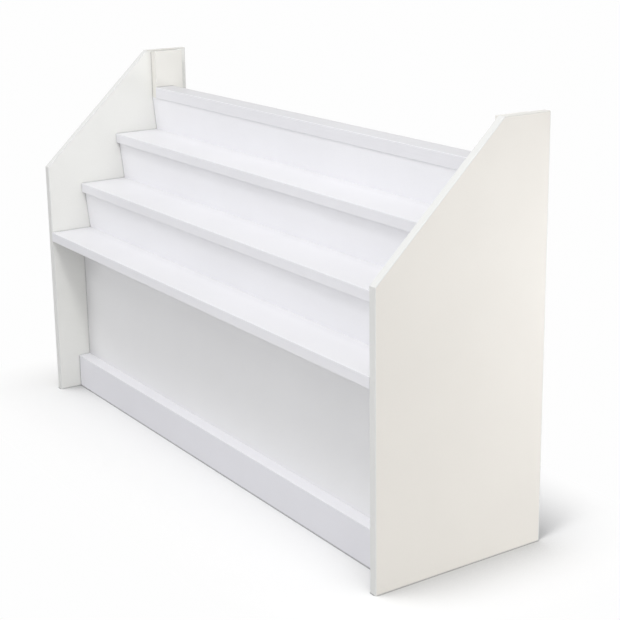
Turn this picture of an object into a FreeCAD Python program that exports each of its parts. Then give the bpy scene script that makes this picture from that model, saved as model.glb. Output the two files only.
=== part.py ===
import FreeCAD, Part
import os

import Sketcher
from FreeCAD import Rotation, Vector

# Tiered display stand of faced furniture board, in millimetres.
# The origin is at floor level under the middle of the stand. X runs along its length,
# Y runs from the front to the back, and Z is up.
# Two side panels with a sloping front edge carry three stepped shelves, three leaning
# risers, a ledge, a recessed front panel and a plinth. Cam fittings, dowels and hidden
# screws hold the boards together.

OUTPUT_FOLDER = "parts"

# Driving sizes: name, value and what it is.
SIZES = [
    ("stand_length", 1500, "outside to outside of the side panels"),
    ("stand_depth", 430, "front edge to rear edge of a side panel"),
    ("stand_height", 920, "floor to the level top of a side panel"),
    ("front_edge_height", 630, "height at which the slope begins"),
    ("slope_run", 310, "depth that the slope covers"),
    ("side_board", 19, "thickness of a side panel"),
    ("edging", 2, "thickness of the edging strips"),
    ("edge_round", 1.2, "rounding of the outer corners of the edging"),
    ("edge_round_share", 0.8, "largest rounding, as a share of the edging's thickness"),
    ("board_arris", 0.5, "small chamfer on the corners of the boards"),
    ("shelf_board", 25, "thickness of a shelf"),
    ("middle_step", 125, "middle shelf's top above the lowest shelf's top"),
    ("upper_step", 125, "upper shelf's top above the middle shelf's top"),
    ("upper_riser_height", 90, "upper shelf's top to the ledge's underside"),
    ("middle_shelf_front", 95, "depth at which the middle shelf starts"),
    ("upper_shelf_front", 206, "depth at which the upper shelf starts"),
    ("shelf_tail", 12, "how far a shelf runs on behind its riser's foot"),
    ("riser_board", 19, "thickness of a riser"),
    ("riser_lean", 6, "lean of the risers, in degrees, top forward"),
    ("riser_reveal", 9, "how far a riser's top stands behind the shelf edge above it"),
    ("upper_riser_front", 323, "depth of the upper riser's face at its top"),
    ("ledge_drop", 100, "top of a side panel above the ledge's top"),
    ("ledge_board", 30, "thickness of the ledge"),
    ("ledge_depth", 55, "depth of the ledge"),
    ("ledge_overhang", 2, "ledge's front ahead of the upper riser's face"),
    ("cheek_board", 25, "thickness of a top cheek"),
    ("cheek_front_gap", 0.5, "a cheek's front edge behind the upper riser's face"),
    ("cheek_rear_gap", 24, "a cheek's rear edge ahead of the side panel's rear edge"),
    ("cheek_drop", 4, "top of a side panel above a cheek's top"),
    ("panel_face", 92, "depth of the recessed front panel's face"),
    ("panel_board", 19, "thickness of the front panel"),
    ("plinth_board", 32, "thickness of the plinth"),
    ("plinth_height", 88, "height of the plinth"),
    ("support_board", 19, "thickness of the centre support"),
    ("stretcher_board", 19, "thickness of the rear stretcher"),
    ("stretcher_height", 90, "height of the rear stretcher"),
    ("bore_slack", 0.3, "how much wider each bore is than what goes into it"),
    ("bore_end_slack", 0.5, "how much deeper each blind bore is than what goes into it"),
    ("dowel_width", 8, "diameter of a dowel"),
    ("dowel_length", 28, "length of a dowel"),
    ("dowel_tip", 0.5, "chamfer on the ends of a dowel"),
    ("dowel_in_side", 12, "how far a dowel goes into the face that it stands on"),
    ("bolt_thread_width", 5, "diameter of a cam bolt's thread"),
    ("bolt_thread_length", 11, "how far a cam bolt is screwed into a face"),
    ("bolt_shank_width", 6, "diameter of a cam bolt's shank"),
    ("bolt_neck_width", 4.4, "diameter of a cam bolt's neck"),
    ("bolt_neck_length", 5, "length of a cam bolt's neck"),
    ("bolt_head_length", 5, "length of a cam bolt's head"),
    ("cam_reach", 34, "from the end of a board to the middle of its cam"),
    ("cam_width", 15, "diameter of a cam housing"),
    ("cam_slot", 7, "width of the hollow in a cam that takes the bolt's head"),
    ("cam_end_wall", 1, "thickness of a cam between its hollow and its far end"),
    ("cam_driver_slot", 2, "width and depth of the slot for a screwdriver"),
    ("cam_driver_slot_length", 7.5, "length of the slot for a screwdriver"),
    ("cap_width", 18, "diameter of a cam cap"),
    ("cap_plate", 1, "thickness of a cam cap"),
    ("cam_from_rear", 20, "rear cam line ahead of a shelf's rear edge"),
    ("cam_spacing", 80, "between the two cam lines of a shelf"),
    ("dowel_from_rear", 60, "rear dowel line ahead of a shelf's rear edge"),
    ("dowel_spacing", 65, "between the two dowel lines of a shelf"),
    ("riser_dowel_edge", 22, "dowel lines of a riser from its foot and from its top"),
    ("panel_bolt_edge", 100, "bolt lines of the front panel from its two long edges"),
    ("panel_dowel_edge", 40, "dowel lines of the front panel from its two long edges"),
    ("stretcher_line_edge", 25, "fixing lines of the stretcher from its two long edges"),
    ("ledge_line_edge", 14, "fixing lines of the ledge from its two long edges"),
    ("cheek_line_edge", 30, "dowels of a cheek from its edges"),
    ("screw_width", 4, "diameter of a wood screw"),
    ("screw_head_width", 8, "diameter of a wood screw's head"),
    ("screw_length", 45, "length of a wood screw"),
    ("screw_point", 4, "length of a wood screw's point"),
    ("screw_line_inner", 250, "inner screws on each side of the middle"),
    ("screw_line_outer", 600, "outer screws on each side of the middle"),
    ("support_screw_edge", 25, "screws of the centre support from the stretcher's edges"),
]


def size(name):
    """Return the reference to one cell of the sheet."""
    return f"Sizes.{name}"


# Widths between the side panels
HALF_LENGTH = f"({size('stand_length')} / 2)"
HALF_SPAN = f"({HALF_LENGTH} - {size('side_board')})"
HALF_LEDGE_SPAN = f"({HALF_SPAN} - {size('cheek_board')})"
FRONT = f"(-{size('stand_depth')} / 2)"

# Risers: a leaning board is cut level at its foot and top, so it is wider in depth than it is thick.
LEAN = f"tan({size('riser_lean')} * 1 deg)"
RISER_WIDTH = f"({size('riser_board')} / cos({size('riser_lean')} * 1 deg))"
LEDGE_TOP = f"({size('stand_height')} - {size('ledge_drop')})"
LEDGE_UNDERSIDE = f"({LEDGE_TOP} - {size('ledge_board')})"

# Heights of the shelves' tops, each measured down from what stands above it
SHELF_TOPS = {"upper": f"({LEDGE_UNDERSIDE} - {size('upper_riser_height')})"}
SHELF_TOPS["middle"] = f"({SHELF_TOPS['upper']} - {size('upper_step')})"
SHELF_TOPS["lower"] = f"({SHELF_TOPS['middle']} - {size('middle_step')})"


def underside(shelf):
    """Return the height of a shelf's underside."""
    return f"({SHELF_TOPS[shelf]} - {size('shelf_board')})"


# Each tier: the shelf that carries the riser, the depth of that shelf's front, the height
# of the riser's top, and the depth of the riser's face at its top.
TIERS = {
    "lower": {
        "front": "0",
        "riser_top": underside("middle"),
        "riser_front": f"({size('middle_shelf_front')} + {size('riser_reveal')})",
    },
    "middle": {
        "front": size("middle_shelf_front"),
        "riser_top": underside("upper"),
        "riser_front": f"({size('upper_shelf_front')} + {size('riser_reveal')})",
    },
    "upper": {
        "front": size("upper_shelf_front"),
        "riser_top": LEDGE_UNDERSIDE,
        "riser_front": size("upper_riser_front"),
    },
}
for tier_name, tier_sizes in TIERS.items():
    tier_sizes["top"] = SHELF_TOPS[tier_name]
    tier_sizes["riser_height"] = f"({tier_sizes['riser_top']} - {tier_sizes['top']})"
    tier_sizes["lean_run"] = f"({tier_sizes['riser_height']} * {LEAN})"
    tier_sizes["foot_front"] = f"({tier_sizes['riser_front']} + {tier_sizes['lean_run']})"
    tier_sizes["rear"] = f"({tier_sizes['foot_front']} + {RISER_WIDTH} + {size('shelf_tail')})"

# Depths of the pieces at the top and the back
LEDGE_FRONT = f"({size('upper_riser_front')} - {size('ledge_overhang')})"
LEDGE_REAR = f"({LEDGE_FRONT} + {size('ledge_depth')})"
CHEEK_FRONT = f"({size('upper_riser_front')} + {size('cheek_front_gap')})"
CHEEK_REAR = f"({size('stand_depth')} - {size('cheek_rear_gap')})"
CHEEK_TOP = f"({size('stand_height')} - {size('cheek_drop')})"
PANEL_REAR = f"({size('panel_face')} + {size('panel_board')})"
PLINTH_FACE = f"({size('panel_face')} - {size('plinth_board')})"
PANEL_HEIGHT = underside("lower")

# The rounding of the edging stays within the strip
EDGE_ROUND_LIMIT = f"{size('edge_round_share')} * {size('edging')}"
EDGE_ROUND = f"min({size('edge_round')}; {EDGE_ROUND_LIMIT})"

# The outline of a side board, inside its edging
SLOPE_RISE = f"({size('stand_height')} - {size('front_edge_height')})"
SLOPE_LENGTH = f"sqrt({size('slope_run')}^2 + {SLOPE_RISE}^2)"
SLOPE_FOOT_DROP = f"({size('edging')} * ({SLOPE_LENGTH} - {SLOPE_RISE}) / {size('slope_run')})"
SLOPE_END_SHIFT = f"({size('edging')} * ({SLOPE_LENGTH} - {size('slope_run')}) / {SLOPE_RISE})"
INNER_FRONT_HEIGHT = f"({size('front_edge_height')} - {SLOPE_FOOT_DROP})"
INNER_SLOPE_END = f"({size('slope_run')} + {SLOPE_END_SHIFT})"
INNER_REAR = f"({size('stand_depth')} - {size('edging')})"
INNER_TOP = f"({size('stand_height')} - {size('edging')})"

# Bores, each wider and deeper than what it takes
DOWEL_BORE = f"({size('dowel_width')} + {size('bore_slack')})"
DOWEL_FACE_DEPTH = f"({size('dowel_in_side')} + {size('bore_end_slack')})"
DOWEL_END = f"({size('dowel_length')} - {size('dowel_in_side')})"
DOWEL_END_DEPTH = f"({DOWEL_END} + {size('bore_end_slack')})"
THREAD_BORE = f"({size('bolt_thread_width')} + {size('bore_slack')})"
THREAD_DEPTH = f"({size('bolt_thread_length')} + {size('bore_end_slack')})"
SHANK_BORE = f"({size('bolt_shank_width')} + {size('bore_slack')})"
CAM_BORE = f"({size('cam_width')} + {size('bore_slack')})"

# A cam's drum reaches from the face of the thinnest board past the bolt in that board's middle.
BOLT_IN_CAM = f"({size('panel_board')} / 2)"
CAM_FLOOR = f"({size('cam_slot')} / 2 + {size('cam_end_wall')})"
CAM_HEIGHT = f"({BOLT_IN_CAM} + {CAM_FLOOR})"
SCREW_BORE = f"({size('screw_width')} + {size('bore_slack')})"
SCREW_SINK = f"({size('screw_head_width')} + {size('bore_slack')})"

LEFT = -1
MIDDLE = 0
RIGHT = 1
SIDES = {"left": LEFT, "right": RIGHT}
X_AXIS = Vector(1, 0, 0)
Y_AXIS = Vector(0, 1, 0)
Z_AXIS = Vector(0, 0, 1)
EDGE_MATCH = 0.01
AXIS_SLACK = 0.001
LEAST_CUT = 1
COUNTERSINK_ANGLE = 90

document = FreeCAD.newDocument("DisplayStand")
sheet = document.addObject("Spreadsheet::Sheet", "Sizes")


def write_sheet():
    """Write the driving sizes into the sheet, one alias to each number."""
    for row, (name, value, note) in enumerate(SIZES, start=1):
        sheet.set(f"A{row}", name)
        sheet.set(f"B{row}", str(value))
        sheet.setAlias(f"B{row}", name)
        sheet.set(f"C{row}", note)
    document.recompute()


def number(formula):
    """Return what a formula gives with the sheet's present sizes."""
    value = sheet.evalExpression(formula)
    return float(getattr(value, "Value", value))


def origin_plane(body, role):
    """Return one of a body's own origin planes."""
    return next(plane for plane in body.Origin.OriginFeatures if plane.Role == role)


def new_sketch(body, name, role, offset):
    """Return a sketch on a body's origin plane, moved along the plane's normal."""
    sketch = body.newObject("Sketcher::SketchObject", f"{body.Name}_{name}")
    sketch.AttachmentSupport = [(origin_plane(body, role), "")]
    sketch.MapMode = "FlatFace"
    sketch.setExpression("AttachmentOffset.Base.z", offset)
    return sketch


def tie_point(sketch, curve, point, place):
    """Tie a point of a sketch's curve to two formulas, measured from the sketch's origin."""
    for kind, formula in zip(("DistanceX", "DistanceY"), place):
        row = sketch.addConstraint(Sketcher.Constraint(kind, -1, 1, curve, point, number(formula)))
        sketch.setExpression(f"Constraints[{row}]", formula)


def draw_outline(sketch, corners):
    """Draw a closed outline through corners that are given as pairs of formulas."""
    points = [Vector(number(first), number(second), 0) for first, second in corners]
    count = len(points)
    for index, point in enumerate(points):
        sketch.addGeometry(Part.LineSegment(point, points[(index + 1) % count]))
    for index in range(count):
        sketch.addConstraint(Sketcher.Constraint("Coincident", index, 2, (index + 1) % count, 1))
    for index, corner in enumerate(corners):
        tie_point(sketch, index, 1, corner)


def draw_circles(sketch, centres, diameter):
    """Draw one circle at each centre, all of one diameter."""
    for index, centre in enumerate(centres):
        middle = Vector(number(centre[0]), number(centre[1]), 0)
        sketch.addGeometry(Part.Circle(middle, Z_AXIS, number(diameter) / 2))
        tie_point(sketch, index, 3, centre)
        row = sketch.addConstraint(Sketcher.Constraint("Diameter", index, number(diameter)))
        sketch.setExpression(f"Constraints[{row}]", diameter)


def new_board(label, corners, width, hand=MIDDLE):
    """Return a body with its outline across Y and Z, drawn out along X.

    The corners are measured from the stand's front edge and from the floor. A hand of MIDDLE
    draws the board out evenly both ways from the middle of the stand, and LEFT or RIGHT from
    the outer face of that side panel inwards.
    """
    body = document.addObject("PartDesign::Body", label)
    body.Label = label
    sketch = new_sketch(body, "outline", "YZ_Plane", "0")
    draw_outline(sketch, corners)
    pad = body.newObject("PartDesign::Pad", f"{label}_pad")
    pad.Profile = sketch
    pad.setExpression("Length", width)
    if hand == MIDDLE:
        pad.SideType = "Symmetric"
    pad.Reversed = hand == RIGHT
    body.setExpression("Placement.Base.x", f"{hand} * {HALF_LENGTH}")
    body.setExpression("Placement.Base.y", FRONT)
    document.recompute()
    return body


def edges_at(body, places):
    """Return the names of the body's edges whose middles lie at the given places."""
    names = []
    for index, edge in enumerate(body.Shape.Edges, start=1):
        middle = body.Placement.inverse().multVec(edge.CenterOfMass)
        if any((middle - place).Length < EDGE_MATCH for place in places):
            names.append(f"Edge{index}")
    return names


def round_edges(body, places):
    """Round the edges that have their middles at the given places."""
    base = (body.Tip, edges_at(body, places))
    fillet = body.newObject("PartDesign::Fillet", f"{body.Name}_round")
    fillet.Base = base
    fillet.setExpression("Radius", EDGE_ROUND)
    body.Tip = fillet
    document.recompute()


def ease_ends(body):
    """Chamfer the corners round the two end faces of a board that runs along X."""
    faces = []
    for index, face in enumerate(body.Shape.Faces, start=1):
        if 1 - abs(face.normalAt(0, 0).dot(X_AXIS)) < AXIS_SLACK:
            faces.append(f"Face{index}")
    base = (body.Tip, faces)
    chamfer = body.newObject("PartDesign::Chamfer", f"{body.Name}_arris")
    chamfer.Base = base
    chamfer.setExpression("Size", size("board_arris"))
    body.Tip = chamfer
    document.recompute()


def check_cut(body, volume_before, name):
    """Stop if a cut took nothing away."""
    if body.Shape.Volume > volume_before - LEAST_CUT:
        raise ValueError(f"{body.Label}: {name} cuts nothing")


def add_bores(body, name, role, offset, centres, diameter, depth, backwards):
    """Cut round blind bores from a plane into the body, and return the cut.

    A cut runs against the normal of its plane, and with it when backwards is true.
    """
    volume = body.Shape.Volume
    sketch = new_sketch(body, name, role, offset)
    draw_circles(sketch, centres, diameter)
    pocket = body.newObject("PartDesign::Pocket", f"{body.Name}_{name}_bores")
    pocket.Profile = sketch
    pocket.setExpression("Length", depth)
    pocket.Reversed = backwards
    body.Tip = pocket
    document.recompute()
    check_cut(body, volume, name)
    return pocket


def add_screw_holes(body, name, role, offset, centres, backwards):
    """Cut countersunk holes right through a board, each wide enough for a wood screw."""
    volume = body.Shape.Volume
    sketch = new_sketch(body, name, role, offset)
    draw_circles(sketch, centres, SCREW_BORE)
    document.recompute()
    hole = body.newObject("PartDesign::Hole", f"{body.Name}_{name}_holes")
    hole.Profile = sketch
    document.recompute()
    hole.ThreadType = "None"
    hole.DepthType = "ThroughAll"
    hole.HoleCutType = "Countersink"
    hole.HoleCutCustomValues = True
    hole.HoleCutCountersinkAngle = COUNTERSINK_ANGLE
    hole.setExpression("Diameter", SCREW_BORE)
    hole.setExpression("HoleCutDiameter", SCREW_SINK)
    hole.Reversed = backwards
    body.Tip = hole
    document.recompute()
    check_cut(body, volume, name)


def mirror_cuts(body, cuts):
    """Repeat cuts at the other end of a board that is centred on the stand."""
    volume = body.Shape.Volume
    mirror = body.newObject("PartDesign::Mirrored", f"{body.Name}_mirror")
    mirror.Originals = cuts
    mirror.MirrorPlane = (origin_plane(body, "YZ_Plane"), [""])
    body.Tip = mirror
    document.recompute()
    check_cut(body, volume, "mirror")


# Fixing places, each a pair of formulas for depth and height

def shelf_lines(tier):
    """Return the depths of a shelf's bolts and dowels, and the height of its middle."""
    rear = TIERS[tier]["rear"]
    bolts = [f"({rear} - {size('cam_from_rear')})"]
    bolts.append(f"({bolts[0]} - {size('cam_spacing')})")
    dowels = [f"({rear} - {size('dowel_from_rear')})"]
    dowels.append(f"({dowels[0]} - {size('dowel_spacing')})")
    middle = f"({TIERS[tier]['top']} - {size('shelf_board')} / 2)"
    return bolts, dowels, middle


def riser_middle(tier, rise):
    """Return the depth of the middle of a riser at a height above its foot."""
    return f"({TIERS[tier]['foot_front']} + {RISER_WIDTH} / 2 - {rise} * {LEAN})"


def riser_places(tier):
    """Return where the dowels of a riser's end go."""
    low = size("riser_dowel_edge")
    high = f"({TIERS[tier]['riser_height']} - {low})"
    return [(riser_middle(tier, rise), f"({TIERS[tier]['top']} + {rise})") for rise in (low, high)]


PANEL_MIDDLE = f"({size('panel_face')} + {size('panel_board')} / 2)"
PANEL_BOLTS = [
    (PANEL_MIDDLE, size("panel_bolt_edge")),
    (PANEL_MIDDLE, f"({PANEL_HEIGHT} - {size('panel_bolt_edge')})"),
]
PANEL_DOWELS = [
    (PANEL_MIDDLE, size("panel_dowel_edge")),
    (PANEL_MIDDLE, f"({PANEL_HEIGHT} - {size('panel_dowel_edge')})"),
]
STRETCHER_MIDDLE = f"({LEDGE_REAR} + {size('stretcher_board')} / 2)"
STRETCHER_BOLTS = [(STRETCHER_MIDDLE, size("stretcher_line_edge"))]
STRETCHER_DOWELS = [(STRETCHER_MIDDLE, f"({size('stretcher_height')} - {size('stretcher_line_edge')})")]
LEDGE_MIDDLE = f"({LEDGE_TOP} - {size('ledge_board')} / 2)"
LEDGE_BOLTS = [(f"({LEDGE_REAR} - {size('ledge_line_edge')})", LEDGE_MIDDLE)]
LEDGE_DOWELS = [(f"({LEDGE_FRONT} + {size('ledge_line_edge')})", LEDGE_MIDDLE)]
CHEEK_EDGE = size("cheek_line_edge")
CHEEK_DOWELS = [
    (f"({CHEEK_FRONT} + {CHEEK_EDGE})", f"({CHEEK_TOP} - {CHEEK_EDGE})"),
    (f"({CHEEK_REAR} - {CHEEK_EDGE})", f"({LEDGE_UNDERSIDE} + {CHEEK_EDGE})"),
]
SHELF_BOLTS = {}
SHELF_DOWELS = {}
for tier_name in TIERS:
    bolt_depths, dowel_depths, shelf_middle_height = shelf_lines(tier_name)
    SHELF_BOLTS[tier_name] = [(depth, shelf_middle_height) for depth in bolt_depths]
    SHELF_DOWELS[tier_name] = [(depth, shelf_middle_height) for depth in dowel_depths]
SIDE_BOLTS = [place for places in SHELF_BOLTS.values() for place in places] + PANEL_BOLTS + STRETCHER_BOLTS
SIDE_DOWELS = [place for places in SHELF_DOWELS.values() for place in places]
SIDE_DOWELS += [place for tier_name in TIERS for place in riser_places(tier_name)]
SIDE_DOWELS += PANEL_DOWELS + STRETCHER_DOWELS + CHEEK_DOWELS
SCREW_LINES = [
    f"{side} * {size(line)}" for side in (LEFT, RIGHT) for line in ("screw_line_outer", "screw_line_inner")
]
PLINTH_SCREW_HEIGHT = f"({size('plinth_height')} / 2)"
SUPPORT_SCREW_HEIGHTS = [
    size("support_screw_edge"),
    f"({size('stretcher_height')} - {size('support_screw_edge')})",
]


def make_side(name, hand):
    """Make a side panel, with bores in its inner face, and its four edging strips."""
    depth = size("stand_depth")
    height = size("stand_height")
    edging = size("edging")
    outer = {
        "foot_front": ("0", "0"),
        "slope_foot": ("0", size("front_edge_height")),
        "slope_end": (size("slope_run"), height),
        "top_rear": (depth, height),
        "foot_rear": (depth, "0"),
    }
    inner = {
        "foot_front": (edging, "0"),
        "slope_foot": (edging, INNER_FRONT_HEIGHT),
        "slope_end": (INNER_SLOPE_END, INNER_TOP),
        "top_rear": (INNER_REAR, INNER_TOP),
        "foot_rear": (INNER_REAR, "0"),
    }
    panel = new_board(f"side_panel_{name}", list(inner.values()), size("side_board"), hand)
    inner_face = f"{-hand} * {size('side_board')}"
    backwards = hand == RIGHT
    add_bores(panel, "bolt", "YZ_Plane", inner_face, SIDE_BOLTS, THREAD_BORE, THREAD_DEPTH, backwards)
    add_bores(panel, "dowel", "YZ_Plane", inner_face, SIDE_DOWELS, DOWEL_BORE, DOWEL_FACE_DEPTH, backwards)
    strips = {
        "front": ("foot_front", "slope_foot"),
        "slope": ("slope_foot", "slope_end"),
        "top": ("slope_end", "top_rear"),
        "rear": ("top_rear", "foot_rear"),
    }
    for strip_name, (start, end) in strips.items():
        corners = [outer[start], outer[end], inner[end], inner[start]]
        strip = new_board(f"{strip_name}_edging_{name}", corners, size("side_board"), hand)
        middle = [(number(outer[start][axis]) + number(outer[end][axis])) / 2 for axis in (0, 1)]
        faces = [0, -hand * number(size("side_board"))]
        round_edges(strip, [Vector(face, *middle) for face in faces])


def make_front_edging(label, front, bottom, top, half_span):
    """Make the strip on the front of a shelf or ledge, with both outer corners rounded."""
    back = f"({front} + {size('edging')})"
    corners = [(front, bottom), (back, bottom), (back, top), (front, top)]
    strip = new_board(label, corners, f"2 * {half_span}")
    round_edges(strip, [Vector(0, number(front), number(height)) for height in (bottom, top)])


def add_end_bores(body, half_span, bolts, dowels):
    """Cut the bores for bolt shanks and dowels into one end of a board, and return the cuts."""
    cuts = []
    if bolts:
        reach = size("cam_reach")
        cuts.append(add_bores(body, "bolt", "YZ_Plane", half_span, bolts, SHANK_BORE, reach, False))
    cuts.append(add_bores(body, "dowel", "YZ_Plane", half_span, dowels, DOWEL_BORE, DOWEL_END_DEPTH, False))
    return cuts


def cam_bore_depth(board):
    """Return how deep a cam's bore goes into a board, past the bolt in its middle."""
    return f"({board} / 2 + {CAM_FLOOR} + {size('bore_end_slack')})"


def make_shelf(tier):
    """Make a shelf with its fixings and the strip on its front edge."""
    sizes = TIERS[tier]
    bottom = underside(tier)
    front = f"({sizes['front']} + {size('edging')})"
    corners = [(front, bottom), (sizes["rear"], bottom), (sizes["rear"], sizes["top"]), (front, sizes["top"])]
    shelf = new_board(f"shelf_{tier}", corners, f"2 * {HALF_SPAN}")
    ease_ends(shelf)
    cuts = add_end_bores(shelf, HALF_SPAN, SHELF_BOLTS[tier], SHELF_DOWELS[tier])
    centres = [(f"({HALF_SPAN} - {size('cam_reach')})", depth) for depth, _ in SHELF_BOLTS[tier]]
    cam_depth = cam_bore_depth(size("shelf_board"))
    cuts.append(add_bores(shelf, "cam", "XY_Plane", bottom, centres, CAM_BORE, cam_depth, True))
    mirror_cuts(shelf, cuts)
    screws = [(line, riser_middle(tier, "0")) for line in SCREW_LINES]
    add_screw_holes(shelf, "screw", "XY_Plane", bottom, screws, True)
    make_front_edging(f"edging_shelf_{tier}", sizes["front"], bottom, sizes["top"], HALF_SPAN)


def make_riser(tier):
    """Make the leaning board that closes the step above a shelf."""
    sizes = TIERS[tier]
    foot = sizes["foot_front"]
    head = sizes["riser_front"]
    corners = [
        (foot, sizes["top"]),
        (f"({foot} + {RISER_WIDTH})", sizes["top"]),
        (f"({head} + {RISER_WIDTH})", sizes["riser_top"]),
        (head, sizes["riser_top"]),
    ]
    riser = new_board(f"riser_{tier}", corners, f"2 * {HALF_SPAN}")
    ease_ends(riser)
    mirror_cuts(riser, add_end_bores(riser, HALF_SPAN, [], riser_places(tier)))
    pilots = [(line, riser_middle(tier, "0")) for line in SCREW_LINES]
    grip = f"({size('screw_length')} - {size('shelf_board')} + {size('bore_end_slack')})"
    add_bores(riser, "screw", "XY_Plane", sizes["top"], pilots, SCREW_BORE, grip, True)


def make_ledge():
    """Make the narrow board along the top, with the strip on its front edge."""
    front = f"({LEDGE_FRONT} + {size('edging')})"
    corners = [
        (front, LEDGE_UNDERSIDE),
        (LEDGE_REAR, LEDGE_UNDERSIDE),
        (LEDGE_REAR, LEDGE_TOP),
        (front, LEDGE_TOP),
    ]
    ledge = new_board("top_ledge", corners, f"2 * {HALF_LEDGE_SPAN}")
    ease_ends(ledge)
    cuts = add_end_bores(ledge, HALF_LEDGE_SPAN, LEDGE_BOLTS, LEDGE_DOWELS)
    centres = [(f"({HALF_LEDGE_SPAN} - {size('cam_reach')})", LEDGE_BOLTS[0][0])]
    cam_depth = cam_bore_depth(size("ledge_board"))
    cuts.append(add_bores(ledge, "cam", "XY_Plane", LEDGE_UNDERSIDE, centres, CAM_BORE, cam_depth, True))
    mirror_cuts(ledge, cuts)
    make_front_edging("edging_ledge", LEDGE_FRONT, LEDGE_UNDERSIDE, LEDGE_TOP, HALF_LEDGE_SPAN)


def make_cheek(name, hand):
    """Make the short board on a side panel's inner face that carries the ledge's end."""
    corners = [
        (CHEEK_FRONT, LEDGE_UNDERSIDE),
        (CHEEK_REAR, LEDGE_UNDERSIDE),
        (CHEEK_REAR, CHEEK_TOP),
        (CHEEK_FRONT, CHEEK_TOP),
    ]
    cheek = new_board(f"top_cheek_{name}", corners, size("cheek_board"), hand)
    cheek.setExpression("Placement.Base.x", f"{hand} * {HALF_SPAN}")
    document.recompute()
    ease_ends(cheek)
    face = f"{-hand} * {size('cheek_board')}"
    backwards = hand == RIGHT
    add_bores(cheek, "ledge_bolt", "YZ_Plane", face, LEDGE_BOLTS, THREAD_BORE, THREAD_DEPTH, backwards)
    add_bores(cheek, "ledge_dowel", "YZ_Plane", face, LEDGE_DOWELS, DOWEL_BORE, DOWEL_FACE_DEPTH, backwards)
    add_bores(cheek, "side_dowel", "YZ_Plane", "0", CHEEK_DOWELS, DOWEL_BORE, DOWEL_END_DEPTH, not backwards)


def add_rear_cams(body, rear, board, bolts):
    """Cut the bores for cams into the rear face of an upright board, at one end."""
    centres = [(f"({HALF_SPAN} - {size('cam_reach')})", height) for _, height in bolts]
    return add_bores(body, "cam", "XZ_Plane", f"-{rear}", centres, CAM_BORE, cam_bore_depth(board), True)


def make_front_panel():
    """Make the recessed board under the lowest shelf."""
    face = size("panel_face")
    corners = [(face, "0"), (PANEL_REAR, "0"), (PANEL_REAR, PANEL_HEIGHT), (face, PANEL_HEIGHT)]
    panel = new_board("front_panel", corners, f"2 * {HALF_SPAN}")
    ease_ends(panel)
    cuts = add_end_bores(panel, HALF_SPAN, PANEL_BOLTS, PANEL_DOWELS)
    cuts.append(add_rear_cams(panel, PANEL_REAR, size("panel_board"), PANEL_BOLTS))
    mirror_cuts(panel, cuts)
    screws = [(line, PLINTH_SCREW_HEIGHT) for line in SCREW_LINES]
    add_screw_holes(panel, "screw", "XZ_Plane", f"-{PANEL_REAR}", screws, True)


def make_plinth():
    """Make the thick low board before the front panel, and the strip on its top edge."""
    rear = size("panel_face")
    top = size("plinth_height")
    board_top = f"({top} - {size('edging')})"
    corners = [(PLINTH_FACE, "0"), (rear, "0"), (rear, board_top), (PLINTH_FACE, board_top)]
    plinth = new_board("plinth", corners, f"2 * {HALF_SPAN}")
    ease_ends(plinth)
    pilots = [(line, PLINTH_SCREW_HEIGHT) for line in SCREW_LINES]
    grip = f"({size('screw_length')} - {size('panel_board')} + {size('bore_end_slack')})"
    add_bores(plinth, "screw", "XZ_Plane", f"-{rear}", pilots, SCREW_BORE, grip, True)
    strip_corners = [(PLINTH_FACE, board_top), (rear, board_top), (rear, top), (PLINTH_FACE, top)]
    strip = new_board("edging_plinth", strip_corners, f"2 * {HALF_SPAN}")
    round_edges(strip, [Vector(0, number(PLINTH_FACE), number(top))])


def make_support():
    """Make the stepped upright board under the middle of the shelves."""
    corners = [
        (PANEL_REAR, "0"),
        (LEDGE_REAR, "0"),
        (LEDGE_REAR, LEDGE_UNDERSIDE),
        (TIERS["upper"]["rear"], LEDGE_UNDERSIDE),
        (TIERS["upper"]["rear"], underside("upper")),
        (TIERS["middle"]["rear"], underside("upper")),
        (TIERS["middle"]["rear"], underside("middle")),
        (TIERS["lower"]["rear"], underside("middle")),
        (TIERS["lower"]["rear"], underside("lower")),
        (PANEL_REAR, underside("lower")),
    ]
    support = new_board("centre_support", corners, size("support_board"))
    pilots = [("0", height) for height in SUPPORT_SCREW_HEIGHTS]
    grip = f"({size('screw_length')} - {size('stretcher_board')} + {size('bore_end_slack')})"
    add_bores(support, "screw", "XZ_Plane", f"-{LEDGE_REAR}", pilots, SCREW_BORE, grip, True)


def make_stretcher():
    """Make the low rail that ties the side panels and the centre support at the back."""
    rear = f"({LEDGE_REAR} + {size('stretcher_board')})"
    top = size("stretcher_height")
    corners = [(LEDGE_REAR, "0"), (rear, "0"), (rear, top), (LEDGE_REAR, top)]
    stretcher = new_board("rear_stretcher", corners, f"2 * {HALF_SPAN}")
    ease_ends(stretcher)
    cuts = add_end_bores(stretcher, HALF_SPAN, STRETCHER_BOLTS, STRETCHER_DOWELS)
    cuts.append(add_rear_cams(stretcher, rear, size("stretcher_board"), STRETCHER_BOLTS))
    mirror_cuts(stretcher, cuts)
    screws = [("0", height) for height in SUPPORT_SCREW_HEIGHTS]
    add_screw_holes(stretcher, "screw", "XZ_Plane", f"-{rear}", screws, True)


def make_turned(name, corners):
    """Return a body turned about X from half of its outline, given as length and radius."""
    body = document.addObject("PartDesign::Body", name)
    sketch = new_sketch(body, "outline", "XY_Plane", "0")
    draw_outline(sketch, corners)
    turn = body.newObject("PartDesign::Revolution", f"{name}_turn")
    turn.Profile = sketch
    turn.ReferenceAxis = (sketch, ["H_Axis"])
    turn.Angle = 360
    document.recompute()
    return body


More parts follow.
